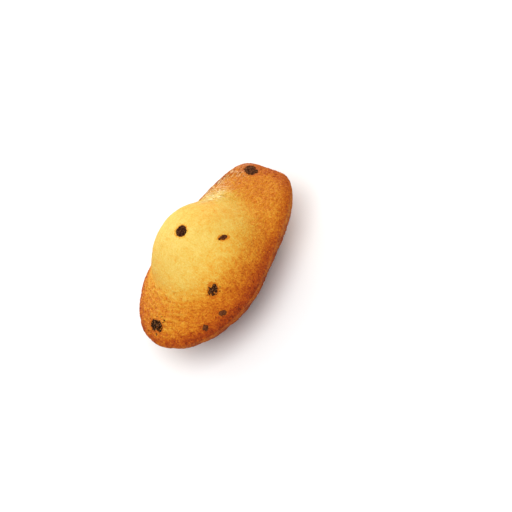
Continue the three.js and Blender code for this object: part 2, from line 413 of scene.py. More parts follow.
@formula("Rim ratio", "Length", "Width")
def rim_ratio(x, y, size):
    """0 in the middle of the plan and 1 on the rim."""
    station = 2 * y / size["Length"]
    change = 0.5 + 0.5 * calculate("TANH", POWER_CHANGE * station)
    power = blend(WIDE_END_POWER, NARROW_END_POWER, change)
    along = station - WIDEST_STATION
    half_width = size["Width"] / 2 * (1 - TAPER * along - TAPER_CURVE * along * along)
    across = (x - LEAN * (station * station - LEAN_STATION)) / half_width
    return (calculate("ABSOLUTE", across) ** power + calculate("ABSOLUTE", station) ** power) ** (1 / power)


@formula("Outline point", "Length", "Width", results=("x", "y"))
def outline_point(across, along, size):
    """The rim's point in a direction of the plan, given as a unit vector of the ellipse round it."""
    x = across * size["Width"] / 2
    y = along * size["Length"] / 2
    reach = 1.0
    for _ in range(RIM_SEARCH_STEPS):
        reach = reach / rim_ratio(x * reach, y * reach, size)
    return x * reach, y * reach


def hump_reach(x, y):
    return distance(x - HUMP_X, y - HUMP_Y)


@formula("Fold depth", "Fold depth")
def fold_depth(x, y, size):
    """The shallow fold in the hump, an arc round its top on the side of the wide end."""
    turned = calculate("ARCTAN2", y - HUMP_Y, x - HUMP_X) - FOLD_TOWARDS
    side = calculate("ARCTAN2", calculate("SINE", turned), calculate("COSINE", turned)) / FOLD_SPREAD
    return size["Fold depth"] * bell((hump_reach(x, y) - FOLD_RADIUS) / FOLD_WIDTH) * bell(side)


@formula("Hump height", "Hump height", "Hump sink")
def hump_height(x, y, size):
    """Height of the hump alone: a dome on its steep side, and a bell that runs out slowly on the other."""
    from_x, from_y = x - HUMP_X, y - HUMP_Y
    towards = from_x * math.cos(HUMP_GENTLE_TOWARDS) + from_y * math.sin(HUMP_GENTLE_TOWARDS)
    gentle = 0.5 + 0.5 * calculate("TANH", towards / HUMP_CHANGE)
    radius_x, radius_y, breadth, power = (blend(HUMP_STEEP_SIDE[key], HUMP_GENTLE_SIDE[key], gentle)
                                          for key in HUMP_STEEP_SIDE)
    outwards = distance(from_x / radius_x, from_y / radius_y)
    dome = larger(0.0, 1 - outwards**breadth) ** power
    return size["Hump height"] * dome - size["Hump sink"]


@formula("Face height", "Length", "Width", "Crown height", "Swell height", "Shoulder height", "Hump height",
         "Hump sink", "Hump fillet", "Fold depth")
def face_height(x, y, size):
    """Height of the face above the rim: a crown, a swell, a shoulder below the hump, and the hump."""
    ratio = smaller(1.0, rim_ratio(x, y, size))
    edge = root(1 - ratio**CROWN_EDGE_POWER)
    low_forms = size["Swell height"] * spot(x, y, *SWELL_SPOT)
    low_forms = low_forms + size["Shoulder height"] * spot(x, y, *SHOULDER_SPOT)
    crown = (size["Crown height"] + low_forms) * edge
    hump = hump_height(x, y, size)
    rounded = larger(0.0, hump) * root(1 - ratio**HUMP_EDGE_POWER)
    rounded = rounded + smaller(0.0, hump)
    height = filleted_max(crown, rounded, size["Hump fillet"]) - fold_depth(x, y, size)
    return height * root(1 - ratio**RIM_ROUNDING_POWER)


def shell_powers(y, size):
    """The two powers of the shell's formula, which grow towards its ends."""
    station = 2 * y / size["Length"]
    end_share = station * station
    return (SHELL_PLAN_POWER + END_FULLNESS_PLAN * end_share,
            SHELL_DEPTH_POWER + END_FULLNESS_DEPTH * end_share)


@formula("Shell depth share", "Length", "Width")
def shell_deep(x, y, size):
    """Depth of the shell below the rim, as a share of its whole depth, before its grooves."""
    plan, depth = shell_powers(y, size)
    ratio = smaller(1.0, rim_ratio(x, y, size))
    return (1 - ratio**plan) ** (1 / depth)


@formula("Shell field", "Length", "Width")
def shell_field(x, y, deep, size):
    """1 on the shell, less inside it and more outside."""
    plan, depth = shell_powers(y, size)
    return rim_ratio(x, y, size) ** plan + larger(0.0, deep) ** depth


@formula("Groove share")
def groove_share(x, y, size):
    """0 on the crest of a rib and 1 in the groove between two ribs."""
    angle = calculate("ARCTAN2", x, HINGE_Y - y) / RIB_ANGLE
    from_crest = 2 * calculate("ABSOLUTE", angle - calculate("ROUND", angle))
    on_ribs = calculate("LESS_THAN", calculate("ABSOLUTE", angle), RIB_COUNT / 2)
    return (1 - root(1 - from_crest**RIB_ROUNDNESS)) * on_ribs


@formula("Groove depth", "Length", "Width", "Groove depth")
def groove_depth(x, y, size):
    """Depth of the grooves, which follows the ribs' width and runs out towards the rim."""
    rib_width = distance(x, HINGE_Y - y) * RIB_ANGLE
    deepening = smooth(1 - rim_ratio(x, y, size), 0, GROOVE_RUN_OUT)
    return size["Groove depth"] * rib_width * groove_share(x, y, size) * blend(RIM_SCALLOP, 1, deepening)


@formula("Shell slopes", "Length", "Width", "Shell depth", results=("x", "y", "z"))
def shell_slopes(x, y, size):
    """A vector out of the shell, from the slopes of its formula."""
    deep = shell_deep(x, y, size)
    steps = ((SLOPE_STEP, 0, 0), (0, SLOPE_STEP, 0), (0, 0, -SLOPE_STEP / size["Shell depth"]))
    return tuple(shell_field(x + dx, y + dy, deep + dz, size) - shell_field(x - dx, y - dy, deep - dz, size)
                 for dx, dy, dz in steps)


@formula("Shell point", "Length", "Width", "Shell depth", "Groove depth", results=("x", "y", "z"))
def shell_point(x, y, size):
    """A point of the grooved shell, before it is pressed flat."""
    slopes = shell_slopes(x, y, size)
    length = root(sum(slope * slope for slope in slopes))
    share = groove_depth(x, y, size) / length
    z = -1 * size["Shell depth"] * shell_deep(x, y, size)
    return tuple(value - slope * share for value, slope in zip((x, y, z), slopes))


def plan_middle(size):
    """The middle of the scalloped outline's box in plan."""
    turns = (step * 360 / OUTLINE_STEPS * DEGREE for step in range(OUTLINE_STEPS))
    rim = [shell_point(*outline_point(math.cos(turn), math.sin(turn), size), size) for turn in turns]
    xs, ys, _ = zip(*rim)
    return (min(xs) + max(xs)) / 2, (min(ys) + max(ys)) / 2


MIDDLE_X, MIDDLE_Y = plan_middle(CAKE_SIZES)
RIM_HEIGHT = CAKE_SIZES["Shell depth"] - CAKE_SIZES["Pressed flat"]


# ------------ node trees

def geometry_node(kind, geometry, inputs=None, **settings):
    """A geometry node fed with a geometry, as a field of its first output."""
    return node_field(geometry.tree, "GeometryNode" + kind, {0: geometry, **(inputs or {})}, **settings)


def store(geometry, values):
    """The geometry with named values on its points."""
    for name, value in values.items():
        geometry = geometry_node("StoreNamedAttribute", geometry, {"Name": name, "Value": value},
                                 data_type="FLOAT", domain="POINT")
    return geometry


def stored(tree, name, data_type="FLOAT"):
    return node_field(tree, "GeometryNodeInputNamedAttribute", {"Name": name}, data_type=data_type)


def stored_values(tree, *names):
    return [stored(tree, name) for name in names]


def position(tree):
    return node_field(tree, "GeometryNodeInputPosition")


def push_out(geometry, amount):
    """Moves the surface along its normals."""
    offset = scaled(node_field(geometry.tree, "GeometryNodeInputNormal"), amount)
    return geometry_node("SetPosition", geometry, {"Offset": offset})


def joined(parts):
    """Several geometries as one."""
    join = parts[0].tree.nodes.new("GeometryNodeJoinGeometry")
    for part in parts:
        feed(join.inputs[0], part)
    return Field(join.outputs[0])


def finished(geometry, place, material):
    """The geometry with its points moved to a place in millimetres, smooth and with its material."""
    made = geometry_node("SetPosition", geometry, {"Position": scaled(place, MM)})
    made = geometry_node("SetShadeSmooth", made)
    made = geometry_node("RealizeInstances", made)
    return geometry_node("SetMaterial", made, {"Material": material})


def cover(tree, size, on_face):
    """A square grid of facets drawn out to the rim, over the face or under the shell."""
    points = QUADS_ACROSS + 1
    inputs = {"Size X": 2.0, "Size Y": 2.0, "Vertices X": points, "Vertices Y": points}
    made = node_field(tree, "GeometryNodeMeshGrid", inputs)
    a, b, _ = split_xyz(position(tree))
    u = a * root(1 - b * b / 2)
    v = b * root(1 - a * a / 2)
    radius = larger(distance(u, v), SMALLEST_RADIUS)
    rim_x, rim_y = outline_point(u / radius, v / radius, size)
    bowed = calculate("SINE", clamp01(radius) * math.pi / 2)
    middle_x, middle_y = (HUMP_X, HUMP_Y) if on_face else (0.0, 0.0)
    share = blend(radius, bowed, FACE_CROWDING) if on_face else bowed
    x = blend(middle_x, rim_x, share)
    y = blend(middle_y, rim_y, share)
    if on_face:
        scalloped_x, scalloped_y, _ = shell_point(rim_x, rim_y, size)
        z = face_height(x, y, size)
        place = join_xyz(blend(middle_x, scalloped_x, share), blend(middle_y, scalloped_y, share), z)
    else:
        place = join_xyz(*shell_point(x, y, size))
    made = store(made, {
        "ratio": rim_ratio(x, y, size),
        "face": 1.0 if on_face else 0.0,
        "groove": 0.0 if on_face else groove_share(x, y, size),
        "reach": hump_reach(x, y),
        "side": calculate("ARCTAN2", y - HUMP_Y, x - HUMP_X),
    })
    made = geometry_node("SetPosition", made, {"Position": place})
    return made if on_face else geometry_node("FlipFaces", made)


def chip_reach(tree, chips):
    """How far a place is from the nearest chip, in that chip's own radii."""
    nearest = node_field(tree, "GeometryNodeSampleNearest", {0: chips}, domain="POINT")

    def sampled(value, data_type="FLOAT"):
        inputs = {"Geometry": chips, "Value": value, "Index": nearest}
        return node_field(tree, "GeometryNodeSampleIndex", inputs, data_type=data_type, domain="POINT")

    away = vector_math("SUBTRACT", position(tree), sampled(position(tree), "FLOAT_VECTOR"))
    x, y, z = split_xyz(away)
    turn = sampled(stored(tree, "turn"))
    cosine, sine = calculate("COSINE", turn), calculate("SINE", turn)
    along = (x * cosine + y * sine) / (sampled(stored(tree, "length")) / 2)
    across = (y * cosine - x * sine) / (sampled(stored(tree, "width")) / 2)
    high = z / NEST_REACH_HEIGHT
    return root(along * along + across * across + high * high)


def pebbles(tree, seed):
    """Rounded grains, about 1 on their tops and -1 in the gaps between them."""
    place = position(tree)
    bend = noise_vector(place, grain=1.6, detail=2.0, roughness=0.6, seed=seed)
    bent = vector_math("ADD", place, scaled(bend, PEBBLE_BEND))
    inputs = {"Vector": bent, "Scale": 1 / PEBBLE_SIZE, "Smoothness": PEBBLE_SMOOTHNESS, "Randomness": 1.0}
    away = node_field(tree, "ShaderNodeTexVoronoi", inputs, "Distance", feature="SMOOTH_F1")
    return 1 - away * PEBBLE_STEEPNESS


def pore_share(tree):
    """1 in the small pits, which lie all over the shell and along the rim of the face."""
    face, ratio, reach = stored_values(tree, "face", "ratio", "reach")
    cells = add_node(tree, "ShaderNodeTexVoronoi",
                     {"Vector": position(tree), "Scale": 1 / PORE_SPACING, "Randomness": 1.0})
    chosen = smooth(split_xyz(Field(cells.outputs["Color"]))[0], *PORE_CHANCE)
    pits = smooth(Field(cells.outputs["Distance"]), *PORE_EDGE) * chosen
    return pits * blend(SHELL_PORES, within(PORED_FACE, reach, ratio), face)


def inside_rim(ratio):
    """1 on most of the face, falling to 0 on the rim."""
    return 1 - ratio**RIM_FALL_POWER


def swell_relief(tree, size):
    """Broad unevenness, weaker on the ribbed shell."""
    swells = noise(position(tree), grain=15.0, detail=1.0, seed=size["Seed"]) * size["Unevenness"]
    return swells * blend(SHELL_SWELLS, 1.0, stored(tree, "face"))


def wrinkle_relief(tree, size):
    """Shallow wrinkles in rings round the foot of the hump, deepest at the wide end."""
    face, ratio, reach, side = stored_values(tree, "face", "ratio", "reach", "side")
    rings = noise(drawn_out(reach, side * reach, long=4.0), grain=1.6, roughness=0.55, seed=size["Seed"])
    share = smooth(reach, *HUMP_FOOT) * inside_rim(ratio) * face
    wide_end = smooth(side * -1, *WRINKLED_SIDE)
    return rings * size["Wrinkle depth"] * share * blend(LEAST_WRINKLED, 1.0, wide_end)


def crinkle_relief(tree, size):
    """Small crinkles on the shoulder, and along the left edge beside it."""
    face, ratio, reach, side = stored_values(tree, "face", "ratio", "reach", "side")
    place = position(tree)
    x, y, _ = split_xyz(place)
    seed = size["Seed"]
    on_face = face * inside_rim(ratio)
    edge = within(CRINKLED_EDGE, ratio, x, y) * on_face
    patch = larger(spot(x, y, *CRINKLED_SPOT) * on_face, edge * EDGE_CRINKLES)
    creases = calculate("ABSOLUTE", noise(place, grain=2.0, detail=3.0, roughness=0.6, seed=seed + 1.0))
    rings = drawn_out(reach, side * reach, long=4.5, wide=1.3, layer=3.0)
    lengthways = drawn_out(x, y, long=4.0, wide=0.9, layer=5.0)
    folds = blend(noise(rings, grain=1.0, roughness=0.55, seed=seed + 1.0),
                  noise(lengthways, grain=1.0, roughness=0.55, seed=seed + 3.0), clamp01(edge))
    crinkles = CRINKLE_RISE - creases * CREASE_SHARE + folds * FOLD_SHARE
    return crinkles * size["Crinkle depth"] * patch


def grain_relief(tree, size):
    """Grain and pebbles, softer on the hump and along the rim."""
    face, ratio, reach, pebble = stored_values(tree, "face", "ratio", "reach", "pebble")
    grain = noise(position(tree), grain=0.8, detail=3.0, roughness=0.65, seed=size["Seed"] + 2.0)
    share = blend(1.0, blend(HUMP_GRAIN, 1.0, smooth(reach, *HUMP_FOOT)), face)
    share = share * (1 - RIM_SOFTENING * bell((ratio - 1) / RIM_SOFT_WIDTH))
    return (grain * size["Grain depth"] + pebble * size["Pebble depth"]) * share


def cake_relief(tree, size):
    """How far the crust stands out at each place."""
    relief = swell_relief(tree, size) + wrinkle_relief(tree, size) + crinkle_relief(tree, size)
    relief = relief + grain_relief(tree, size) - stored(tree, "pore") * size["Pore depth"]
    return relief * blend(CALM_RELIEF, 1.0, smooth(stored(tree, "chip"), *CALM_CRUST))


def chip_nests(tree, size):
    """The shallow nests that the chips lie in, each with a low lip round it."""
    uneven = noise(position(tree), grain=0.8, roughness=0.6, seed=size["Seed"]) * NEST_UNEVENNESS
    edge = stored(tree, "chip") + uneven
    return (smooth(edge, *NEST_LIP) * LIP_SHARE - smooth(edge, *NEST_EDGE)) * size["Nest depth"]


def mesh_of(tree, owner):
    return node_field(tree, "GeometryNodeObjectInfo", {"Object": owner}, "Geometry")


def build_cake_tree():
    """The crust: its face and shell sewn together at the rim, then its relief."""
    inputs = {"Chips": ("Object", None), "Crust": ("Material", None), **floats(CAKE_SIZES)}
    tree, size, result = new_tree("Madeleine", inputs)
    made = joined([cover(tree, size, on_face) for on_face in (False, True)])
    made = geometry_node("MergeByDistance", made, {"Distance": MERGE_DISTANCE})
    made = store(made, {"chip": chip_reach(tree, mesh_of(tree, size["Chips"])),
                        "pebble": pebbles(tree, size["Seed"] + 4.0), "pore": pore_share(tree)})
    made = push_out(made, cake_relief(tree, size))
    made = push_out(made, chip_nests(tree, size))
    x, y, z = split_xyz(position(tree))
    floor_z = size["Pressed flat"] - size["Shell depth"]
    pressed = join_xyz(x - MIDDLE_X, y - MIDDLE_Y, larger(z, floor_z) - floor_z)
    feed(result.inputs[0], finished(made, pressed, size["Crust"]))
    return tree


def laid(points, crust, high):
    """The points brought onto the crust along their directions, standing that high above it."""
    tree = points.tree
    out = stored(tree, "out", "FLOAT_VECTOR")
    start = vector_math("ADD", position(tree), scaled(out, RAY_START))
    inputs = {"Target Geometry": crust, "Source Position": scaled(start, MM),
              "Ray Direction": scaled(out, -1.0), "Ray Length": RAY_LENGTH_M}
    hit = node_field(tree, "GeometryNodeRaycast", inputs, "Hit Position")
    place = vector_math("ADD", scaled(hit, 1 / MM), scaled(out, high))
    return geometry_node("SetPosition", points, {"Position": place})


def lumps(points, level, scale, flatness):
    """A ball on each point, square to the crust; a low flatness makes it a cushion."""
    tree = points.tree
    ball = node_field(tree, "GeometryNodeMeshIcoSphere", {"Radius": 1.0, "Subdivisions": level})
    x, y, z = split_xyz(position(tree))
    flat_z = calculate("SIGN", z) * calculate("ABSOLUTE", z) ** flatness
    ball = geometry_node("SetPosition", ball, {"Position": join_xyz(x, y, flat_z)})
    out = stored(tree, "out", "FLOAT_VECTOR")
    upright = node_field(tree, "FunctionNodeAlignRotationToVector", {"Vector": out}, axis="Z")
    turn = {"Rotation": upright, "Rotate By": join_xyz(0.0, 0.0, stored(tree, "turn"))}
    spun = node_field(tree, "FunctionNodeRotateRotation", turn, rotation_space="LOCAL")
    made = geometry_node("InstanceOnPoints", points, {"Instance": ball, "Rotation": spun, "Scale": scale})
    return geometry_node("RealizeInstances", made)


def chips_on(points, crust, size):
    """A cushion for each chip, sunk into the crust up to its low top."""
    length, width, crumbled = stored_values(points.tree, "length", "width", "crumbled")
    half_height = size["Chip height"] / 2
    points = laid(points, crust, size["Stands out"] * blend(*STANDING_OUT, crumbled) - half_height)
    return lumps(points, CHIP_LEVEL, join_xyz(length / 2, width / 2, half_height), CHIP_FLATNESS)


def specks_on(points, crust, size):
    """Small specks strewn round each chip that is crumbled enough."""
    tree = points.tree
    length, veil, crumbled = stored_values(tree, "length", "veil", "crumbled")

    def chance(name):
        low, high, seed = SPECK_CHANCES[name]
        inputs = {2: low, 3: high, "Seed": seed}
        return node_field(tree, "FunctionNodeRandomValue", inputs, 1, data_type="FLOAT")

    turn = chance("turn")
    spread = chance("spread") * size["Speck spread"] * length / 2
    offset = join_xyz(calculate("COSINE", turn) * spread, calculate("SINE", turn) * spread, 0.0)
    strewn = geometry_node("DuplicateElements", points,
                           {"Amount": SPECKS_PER_CHIP}, domain="POINT")
    strewn = laid(geometry_node("SetPosition", strewn, {"Offset": offset}), crust, 0.0)
    whole = calculate("LESS_THAN", crumbled, LEAST_CRUMBLED_WITH_SPECKS)
    strewn = geometry_node("DeleteGeometry", strewn, {"Selection": whole}, domain="POINT")
    radius = chance("size") * size["Speck size"] / 2 * ((1 - veil) * blend(*SPECK_SIZES, crumbled))
    return lumps(strewn, SPECK_LEVEL, join_xyz(*(radius * share for share in SPECK_SHAPE)), 1.0)


def roughened(geometry, size):
    """The chips made rough and ragged, more so where they are crumbled."""
    tree = geometry.tree
    place, crumbled, seed = position(tree), stored(tree, "crumbled"), size["Seed"]
    rough = noise(place, grain=0.9, detail=3.0, roughness=0.7, seed=seed)
    rough = rough + FINE_ROUGHNESS * noise(place, grain=0.35, detail=2.0, roughness=0.6, seed=seed + 1.0)
    made = push_out(geometry, rough * size["Roughness"] * blend(*ROUGHENING, crumbled))
    drift = noise_vector(place, grain=1.1, detail=3.0, roughness=0.75, seed=seed + 2.0)
    drift = scaled(drift, size["Raggedness"] * blend(*DRAGGING, crumbled))
    return geometry_node("SetPosition", made, {"Offset": drift})


def build_chip_tree():
    """Chips and specks laid on the crust at the chip points."""
    inputs = {**GEOMETRY, "Crust mesh": ("Object", None), "Chocolate": ("Material", None),
              **floats(CHIP_SIZES)}
    tree, size, result = new_tree("Chocolate chips", inputs)
    crust = mesh_of(tree, size["Crust mesh"])
    made = joined([part(size["Geometry"], crust, size) for part in (chips_on, specks_on)])
    made = roughened(made, size)
    feed(result.inputs[0], finished(made, position(tree), size["Chocolate"]))
    return tree


# ------------ pieces

def make_object(name, data):
    made = bpy.data.objects.new(name, data)
    bpy.context.scene.collection.objects.link(made)
    return made


def grown(name, start, tree, values):
    """The plain mesh that a node tree makes of a starting mesh."""
    carrier = make_object(name + "_start", start)
    modifier = carrier.modifiers.new("Shape", "NODES")
    modifier.node_group = tree
    for item in tree.interface.items_tree:
        if item.in_out == "INPUT" and item.name in values:
            modifier[item.identifier] = values[item.name]
    evaluated = carrier.evaluated_get(bpy.context.evaluated_depsgraph_get())
    mesh = bpy.data.meshes.new_from_object(evaluated)
    mesh.name = name
    bpy.data.objects.remove(carrier)
    return make_object(name, mesh)


def chip_places():
    """Place of each chip and direction out of the crust there, in millimetres."""
    size, step = CAKE_SIZES, SLOPE_STEP
    for x, y, *_ in FACE_CHIPS:
        slopes = (face_height(x - step, y, size) - face_height(x + step, y, size),
                  face_height(x, y - step, size) - face_height(x, y + step, size), 2 * step)
        yield Vector((x, y, face_height(x, y, size))), Vector(slopes).normalized()
    for x, y, *_ in SHELL_CHIPS:
        yield Vector(shell_point(x, y, size)), Vector(shell_slopes(x, y, size)).normalized()


def make_chip_points(shift):
    """A mesh of one point for each chip, with its sizes as attributes."""
    places, outs = zip(*chip_places())
    _, _, lengths, widths, turns, veils, crumbled = zip(*FACE_CHIPS, *SHELL_CHIPS)
    columns = {"length": lengths, "width": widths, "turn": [turn * DEGREE for turn in turns],
               "veil": veils, "crumbled": crumbled}
    mesh = bpy.data.meshes.new("chip_points")
    mesh.from_pydata([place + shift for place in places], [], [])
    for name, values in columns.items():
        mesh.attributes.new(name, "FLOAT", "POINT").data.foreach_set("value", values)
    directions = mesh.attributes.new("out", "FLOAT_VECTOR", "POINT")
    directions.data.foreach_set("vector", [value for out in outs for value in out])
    return mesh


# ------------ materials

def new_material(name):
    material = bpy.data.materials.new(name)
    material.use_nodes = True
    return material, material.node_tree, material.node_tree.nodes["Principled BSDF"]


def attribute(tree, name):
    return node_field(tree, "ShaderNodeAttribute", out="Fac", attribute_name=name)


def object_place(tree):
    """The place on the object, in millimetres."""
    return scaled(node_field(tree, "ShaderNodeTexCoord", out="Object"), 1 / MM)


def build_grain_group():
    """Fine baked grain: Value runs from about -1 to 1 and Height is in millimetres."""
    inputs = {"Place": ("Vector", None), "Size": ("Float", 0.5), "Depth": ("Float", 0.05)}
    outputs = {"Value": ("Float", None), "Height": ("Float", None)}
    tree, given, result = new_tree("Baked grain", inputs, outputs, "ShaderNodeTree")
    place = vector_math("DIVIDE", given["Place"], join_xyz(given["Size"], given["Size"], given["Size"]))
    value = noise(place, grain=1.0, detail=3.0, roughness=0.62)
    feed_all(result, {"Value": value, "Height": value * given["Depth"]})
    return tree


def baked_grain(group, place, size, depth):
    """The value and the height of baked grain, with its size and depth in millimetres."""
    given = {"Place": place, "Size": size, "Depth": depth}
    made = add_node(place.tree, "ShaderNodeGroup", given, node_tree=group)
    return [Field(out) for out in made.outputs]


def colour_ramp(share, stops):
    made = add_node(share.tree, "ShaderNodeValToRGB", {0: share})
    ramp = made.color_ramp
    while len(ramp.elements) > 1:
        ramp.elements.remove(ramp.elements[-1])
    ramp.elements[0].position, ramp.elements[0].color = stops[0][0], (*stops[0][1], 1)
    for place, colour in stops[1:]:
        ramp.elements.new(place).color = (*colour, 1)
    return Field(made.outputs[0])


def add_bump(tree, shader, height):
    """Bump from a height in millimetres."""
    made = add_node(tree, "ShaderNodeBump", {"Strength": 1.0, "Distance": MM, "Height": height})
    tree.links.new(made.outputs[0], shader.inputs["Normal"])


def mix_colour(share, below, above):
    """The colour below, covered by the colour above by that share."""
    return node_field(share.tree, "ShaderNodeMix", {0: share, 6: below, 7: above}, 2, data_type="RGBA")


# Colours of the crust by how brown it is, from 0 to 1
BAKED_COLOURS = [
    (0.00, (0.84, 0.61, 0.15)),
    (0.15, (0.80, 0.515, 0.09)),
    (0.30, (0.79, 0.38, 0.034)),
    (0.45, (0.71, 0.235, 0.011)),
    (0.60, (0.545, 0.118, 0.003)),
    (0.75, (0.39, 0.050, 0.002)),
    (0.90, (0.235, 0.026, 0.003)),
    (1.00, (0.11, 0.012, 0.002)),
]
# Pale flecks: partly pale crumbs, partly painted glints on the grains' tops
PALE_FLECK = (0.93, 0.45, 0.04, 1)
# Painted sheen: pale streaks on the folds' ridges stand in for highlights
PALE_RIDGE = (0.96, 0.75, 0.38, 1)

# Browning of the face: how much each part adds, in a row of three with the bounds where it comes in
TOP_BROWNING = 0.05
BEHIND_TOP_BROWNING, BEHIND_TOP_SPOT = 0.12, (-4.0, 9.0, 9.0, 8.0)
REACH_BROWNING = [(0.09, 4.0, 19.0), (0.27, 16.0, 26.0), (0.03, 22.0, 34.0)]
REACH_BLOTCHES, REACH_MOTTLE = 1.6, 0.8
PALE_SHOULDER_REACH, PALE_SHOULDER_SPOT = 3.5, (-7.0, 21.0, 9.0, 6.0)
NARROW_END_BROWNING = (0.035, 20.0, 28.0)
# The next line darkens the face towards the right side and the wide end
RIGHT_SIDE_BROWNING, RIGHT_SIDE = 0.14, ((2.0, 20.0), (28.0, 0.0))
RIM_BROWNING, RIM_BLOTCHES = (0.14, 0.84, 0.98), 0.02
WIDE_RIM_BROWNING, WIDE_RIM = (0.06, 0.12), ((0.92, 0.985), (6.0, -16.0))
WIDE_RIM_RAGGEDNESS = 0.03

# Browning of the shell, with painted shade in its grooves and a paler rim that is partly a painted highlight
SHELL_BROWNING, GROOVE_BROWNING, SHELL_BLOTCHES = 0.74, 0.12, 0.07
PALER_NARROW_SHELL = (-0.07, 5.0, 30.0)
# Paler along the shell's rim: partly real paling, partly a painted rim highlight
PALER_SHELL_RIM = (-0.15, 0.93, 0.995)

# Where the crust is glazed, folded and wrinkled
SMOOTH_HUMP = (14.0, 23.0)
GLAZED_SPOT, GLAZED_REACH = (-12.0, 19.0, 7.0, 10.0), (9.0, 16.0)
GLAZE_MOTTLE, GLAZE_BOUNDS = 0.5, (0.2, 0.9)
LEFT_EDGE = ((0.7, 0.88), (-3.0, -9.0), (10.0, 18.0))
EDGE_GLAZE, EDGE_GLAZE_MOTTLE = 0.6, (-0.5, 0.5)
FOLDED_Y = (38.0, 28.0)
WRINKLED = ((0.3, 1.2), (17.0, 24.0), (1.0, 0.93))

# What they and the grain add to the browning, with painted light and shade on the wrinkles and folds and
# painted shade in the pores, and the strength of fine detail on the hump and off it
WRINKLE_BROWNING, FOLD_BROWNING, GLAZE_BROWNING = -0.2, -0.2, (-0.02, 15.0, 19.0)
# Of these, the pores' darkening is painted shade in the pits
FINE_BROWNING, COARSE_BROWNING, PEBBLE_BROWNING, PORE_BROWNING = 0.24, -0.28, -0.04, 0.14
HUMP_SHARES = {"grain": (0.85, 1.0), "mottle": (0.14, 0.1), "clouds": (0.12, 0.04), "bump": (0.4, 1.0)}
GLAZED_GRAIN = 0.6
HALO_BROWNING, HALO_EDGE, HALO_RAGGEDNESS = 0.3, (1.35, 1.0), 0.4
HALOED_BROWNING = (0.7, 0.1)

# Pale flecks by the grain and by the browning, partly pale crumbs and partly painted glints on the grains'
# tops, and painted sheen on the ridges of the folds
FLECK_SHARE, FLECK_GRAIN, FLECKED_BROWNING = 0.6, (0.3, 0.7), (0.75, 0.4)
FLECK_PEBBLES = 0.3
RIDGE_SHARE, RIDGE_EDGE = 0.68, (0.0, 0.25)

# Gloss and bump
GLAZE_COAT = 0.36
ROUGHNESS_BY_GLAZE, ROUGHNESS_GRAIN = (0.65, 0.4), 0.1
WRINKLED_BUMP, WRINKLE_BUMP = 0.5, 0.6
CRUST_SURFACE = {
    "Coat Roughness": 0.3,
    "Coat IOR": 1.7,
    "Specular IOR Level": 0.35,
    "Specular Tint": (1.0, 0.88, 0.65, 1),
    "Subsurface Weight": 0.1,
    "Subsurface Radius": (1.0, 0.45, 0.15),
    "Subsurface Scale": 0.0006,
}


def crust_values(tree, grain_group):
    """What the crust's colour, gloss and bump read."""
    place = object_place(tree)
    names = ("face", "ratio", "reach", "side", "groove", "chip", "pebble", "pore")
    at = SimpleNamespace(**{name: attribute(tree, name) for name in names})
    at.x, at.y, _ = split_xyz(place)
    at.blotches = noise(place, grain=7.0, seed=2.0)
    at.mottle = noise(place, grain=2.0, roughness=0.6, seed=4.0)
    at.clouds = noise(place, grain=5.0, seed=6.0)
    at.coarse, at.coarse_height = baked_grain(grain_group, place, size=0.6, depth=0.35)
    at.fine, at.fine_height = baked_grain(grain_group, place, size=0.4, depth=0.1)
    at.off_hump = 1 - (1 - smooth(at.reach, *SMOOTH_HUMP)) * at.face
    at.shares = {name: blend(*pair, at.off_hump) for name, pair in HUMP_SHARES.items()}
    at.left_edge = within(LEFT_EDGE, at.ratio, at.x, at.y) * at.face
    at.glaze = crust_glaze(at)
    at.folded = larger(at.glaze, at.left_edge) * smooth(at.y, *FOLDED_Y)
    at.folds = crust_folds(at)
    at.wrinkled = within(WRINKLED, at.side * -1, at.reach, at.ratio) * at.face
    rings = drawn_out(at.reach, at.side * at.reach, long=4.0)
    at.wrinkles = noise(rings, grain=0.9, roughness=0.6, seed=7.0) * at.wrinkled
    at.crinkles = at.folds * at.folded
    return at


def crust_glaze(at):
    """Where it is glazed: in patches on the shoulder, and a little along the left edge."""
    glaze = smooth(spot(at.x, at.y, *GLAZED_SPOT) * at.face + at.mottle * GLAZE_MOTTLE, *GLAZE_BOUNDS)
    glaze = glaze * smooth(at.reach, *GLAZED_REACH)
    return larger(glaze, at.left_edge * smooth(at.mottle, *EDGE_GLAZE_MOTTLE) * EDGE_GLAZE)


def crust_folds(at):
    """Fine folds in rings round the hump, and lengthways along the left edge."""
    rings = drawn_out(at.reach, at.side * at.reach, long=3.0)
    lengthways = drawn_out(at.x, at.y, long=3.0)
    return blend(noise(rings, grain=0.9, roughness=0.6, seed=9.0),
                 noise(lengthways, grain=0.6, roughness=0.6, seed=8.0), at.left_edge)


def comes_in(value, amount, start, end):
    """An amount that comes in between two bounds."""
    return amount * smooth(value, start, end)


def face_browning(at):
    """Pale on the hump, browner behind its top, down its sides and towards the rim, and darker on the right.
    """
    reach = at.reach + at.blotches * REACH_BLOTCHES + at.mottle * REACH_MOTTLE
    reach = reach - PALE_SHOULDER_REACH * spot(at.x, at.y, *PALE_SHOULDER_SPOT)
    brown = TOP_BROWNING + BEHIND_TOP_BROWNING * spot(at.x, at.y, *BEHIND_TOP_SPOT)
    brown = brown + sum(comes_in(reach, *row) for row in REACH_BROWNING)
    brown = brown + comes_in(at.y, *NARROW_END_BROWNING)
    # Darker towards the right side and the wide end
    brown = brown + RIGHT_SIDE_BROWNING * within(RIGHT_SIDE, at.x, at.y)
    brown = brown + comes_in(at.ratio + at.blotches * RIM_BLOTCHES, *RIM_BROWNING)
    added, mottled = WIDE_RIM_BROWNING
    wide_rim = within(WIDE_RIM, at.ratio + at.mottle * WIDE_RIM_RAGGEDNESS, at.y)
    return brown + (added + mottled * at.mottle) * wide_rim


def shell_browning(at):
    """Brown all over, with painted shade in the grooves, paler towards the narrow end, and paler along the
    rim, partly as a painted highlight.
    """
    brown = SHELL_BROWNING + GROOVE_BROWNING * at.groove + SHELL_BLOTCHES * at.blotches
    return brown + comes_in(at.y, *PALER_NARROW_SHELL) + comes_in(at.ratio, *PALER_SHELL_RIM)


